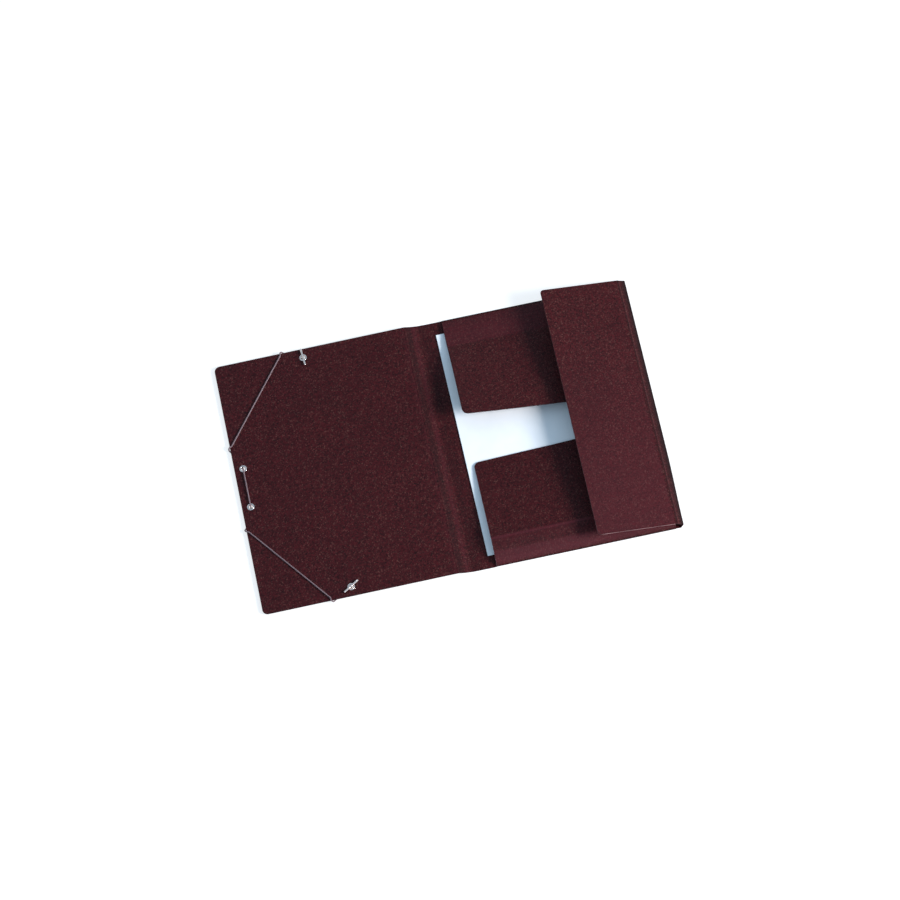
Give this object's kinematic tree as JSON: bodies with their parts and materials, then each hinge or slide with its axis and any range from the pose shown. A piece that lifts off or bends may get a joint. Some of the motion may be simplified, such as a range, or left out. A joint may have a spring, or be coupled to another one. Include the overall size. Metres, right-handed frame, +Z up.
{
  "type": "three-flap elastic folder",
  "caption": "Open card document folder with hinged cover, creased spine, three folded flaps over paper sheets, and an elastic cord with eyelets and metal end bars.",
  "frame": {"origin": "centre of the part's box, at its lowest point, where the open folder rests on a surface", "axes": "+X from the front cover's free edge to the side flap's fold, +Y up the page, +Z up off the surface"},
  "size_m": [0.5414, 0.3552, 0.033],
  "materials": {
    "cover_card": "embossed leather-grain card, dark burgundy, low sheen",
    "folded_card": "embossed leather-grain card, burgundy, low sheen, pale cut edges",
    "elastic": "braided round elastic",
    "nickel": "bright nickel plate",
    "paper": "smooth white office paper"
  },
  "bodies": {
    "tray": {"back_panel": "folded_card", "paper_sheets": "paper"},
    "spine": {"spine": "cover_card"},
    "cover": {"front_cover": "cover_card", "elastic_cord": "elastic", "cord_eyelet_upper": "nickel", "cord_eyelet_lower": "nickel", "end_eyelet_top": "nickel", "end_eyelet_bottom": "nickel", "cord_end_bar_top": "nickel", "cord_end_bar_bottom": "nickel"},
    "side_flap": {"side_flap": "folded_card"}
  },
  "joints": [
    {"name": "spine_fold", "type": "hinge", "parent": "tray", "child": "spine", "pos_m": [0.01848, 0, 0.00121], "axis": [0, 1, 0], "range_deg": [0, 81]},
    {"name": "cover_fold", "type": "hinge", "parent": "spine", "child": "cover", "pos_m": [-0.01809, 0, 0.0068], "axis": [0, 1, 0], "range_deg": [0, 99]},
    {"name": "side_flap_fold", "type": "hinge", "parent": "tray", "child": "side_flap", "pos_m": [0.26393, 0, 0.01551], "axis": [0, -1, 0], "range_deg": [-172, 7]}
  ]
}
